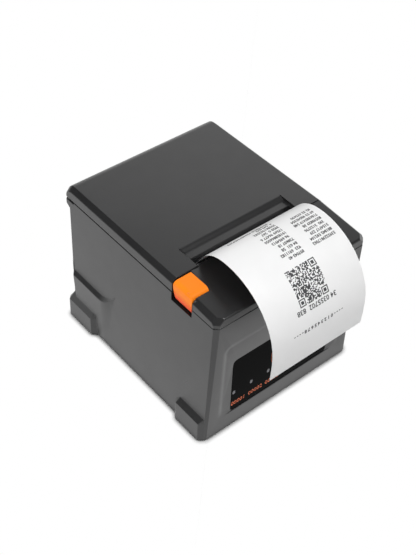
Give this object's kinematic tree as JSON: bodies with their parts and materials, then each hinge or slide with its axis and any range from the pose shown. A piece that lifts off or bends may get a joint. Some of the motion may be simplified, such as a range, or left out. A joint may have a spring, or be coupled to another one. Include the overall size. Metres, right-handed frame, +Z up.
{
  "type": "receipt printer",
  "caption": "Compact desktop thermal receipt printer with a hinged lid, side release lever, gloss front window and a printed receipt curling out of its top slot.",
  "frame": {"origin": "centre of the bounding box of case and receipt, on the plane of the foot pads", "axes": "+X to the printer's left as seen from behind (viewer's right from the front), +Y to the rear, +Z up"},
  "size_m": [0.1388, 0.1845, 0.1371],
  "materials": {
    "case_plastic": "fine grained",
    "inner_plastic": "satin",
    "window_plastic": "high gloss",
    "button_plastic": "satin",
    "clear_plastic": "polished",
    "orange_plastic": "satin",
    "gear_plastic": "satin",
    "connector_plastic": "satin",
    "circuit_board": "solder mask",
    "chip_plastic": "matte",
    "cable_plastic": "satin",
    "chassis_steel": "zinc plated",
    "blade_steel": "ground",
    "shaft_steel": "polished",
    "spring_steel": "drawn",
    "screw_steel": "zinc plated",
    "port_steel": "plated",
    "heatsink_aluminium": "extruded",
    "head_ceramic": "glazed",
    "pinion_brass": "machined",
    "foot_rubber": "matte",
    "platen_rubber": "ground",
    "thermal_paper": "coated",
    "core_board": "raw"
  },
  "bodies": {
    "base": {"base_housing": "case_plastic", "bottom_plate": "inner_plastic", "rubber_feet": "foot_rubber", "case_screws": "screw_steel", "front_cover": "case_plastic", "front_window": "window_plastic", "led_lenses": "clear_plastic", "panel_board": "circuit_board", "panel_switch": "chip_plastic", "paper_bin": "inner_plastic", "receipt": "thermal_paper", "mech_frame": "chassis_steel", "frame_screws": "screw_steel", "print_head": "head_ceramic", "head_heatsink": "heatsink_aluminium", "head_springs": "spring_steel", "head_cable": "cable_plastic", "stepper_motor": "chassis_steel", "idler_axle": "shaft_steel", "cutter_frame": "chassis_steel", "cutter_cover": "chassis_steel", "cutter_motor": "chassis_steel", "main_board": "circuit_board", "board_chips": "chip_plastic", "board_screws": "screw_steel", "dc_jack": "connector_plastic", "usb_port": "port_steel", "lan_port": "port_steel", "drawer_port": "connector_plastic", "switch_body": "connector_plastic", "hinge_pins": "shaft_steel", "lever_pin": "shaft_steel", "paper_sensor": "chip_plastic", "lid_switch": "chip_plastic"},
    "lid": {"lid_cover": "case_plastic", "lid_inner": "inner_plastic", "lid_screws": "screw_steel", "platen_bushes": "gear_plastic", "fixed_blade": "blade_steel"},
    "platen": {"platen_shaft": "shaft_steel", "platen_rubber": "platen_rubber", "platen_gear": "gear_plastic"},
    "roll": {"paper_roll": "thermal_paper", "roll_core": "core_board"},
    "idler": {"idler_gear": "gear_plastic"},
    "pinion": {"motor_pinion": "pinion_brass"},
    "lever": {"release_lever": "orange_plastic"},
    "link": {"latch_link": "chassis_steel"},
    "latch": {"latch_shaft": "shaft_steel", "latch_hooks": "chassis_steel"},
    "blade": {"moving_blade": "blade_steel"},
    "cutter_drive": {"cutter_pinion": "pinion_brass"},
    "button": {"feed_button": "button_plastic"},
    "rocker": {"power_rocker": "button_plastic"}
  },
  "joints": [
    {"name": "lid_hinge", "type": "hinge", "parent": "base", "child": "lid", "pos_m": [0, 0.08824, 0.1155], "axis": [-1, 0, 0], "range_deg": [0, 95]},
    {"name": "platen_spin", "type": "hinge", "parent": "lid", "child": "platen", "pos_m": [0, -0.00262, 0.1037], "axis": [-1, 0, 0], "continuous": true},
    {"name": "roll_spin", "type": "hinge", "parent": "base", "child": "roll", "pos_m": [0, 0.03807, 0.0597], "axis": [-1, 0, 0], "continuous": true},
    {"name": "idler_spin", "type": "hinge", "parent": "base", "child": "idler", "pos_m": [0.0515, 0.00047, 0.0799], "axis": [-1, 0, 0], "continuous": true},
    {"name": "motor_spin", "type": "hinge", "parent": "base", "child": "pinion", "pos_m": [0.0515, -0.02002, 0.07629], "axis": [-1, 0, 0], "continuous": true},
    {"name": "latch_turn", "type": "hinge", "parent": "base", "child": "latch", "pos_m": [0, -0.03076, 0.09], "axis": [1, 0, 0], "range_deg": [0, 25], "stiffness_Nm_per_rad": 0.15, "springref_deg": -22.92},
    {"name": "lever_pull", "type": "hinge", "parent": "base", "child": "lever", "pos_m": [-0.056, -0.03986, 0.1174], "axis": [1, 0, 0], "range_deg": [0, 25]},
    {"name": "link_swing", "type": "hinge", "parent": "lever", "child": "link", "pos_m": [-0.053, -0.02986, 0.1114], "axis": [1, 0, 0], "range_deg": [-25, 0]},
    {"name": "blade_stroke", "type": "slide", "parent": "base", "child": "blade", "axis": [0, 1, 0], "range_m": [0, 0.006]},
    {"name": "cutter_spin", "type": "hinge", "parent": "base", "child": "cutter_drive", "pos_m": [-0.028, -0.04281, 0.11], "axis": [0, 0, -1], "range_deg": [0, 75]},
    {"name": "button_press", "type": "slide", "parent": "base", "child": "button", "axis": [0, 1, 0], "range_m": [0, 0.0008], "stiffness_N_per_m": 400, "springref_m": -0.001},
    {"name": "rocker_tilt", "type": "hinge", "parent": "base", "child": "rocker", "pos_m": [0.052, 0.08654, 0.042], "axis": [-1, 0, 0], "range_deg": [0, 14]}
  ],
  "couplings": [
    {"joint": "platen_spin", "follows": "roll_spin", "ratio": 5.4286},
    {"joint": "idler_spin", "follows": "roll_spin", "ratio": -2.7143},
    {"joint": "motor_spin", "follows": "roll_spin", "ratio": 9.0476},
    {"joint": "lever_pull", "follows": "latch_turn", "ratio": 1},
    {"joint": "link_swing", "follows": "latch_turn", "ratio": -1},
    {"joint": "cutter_spin", "follows": "blade_stroke", "rad_per_m": 208.33}
  ]
}
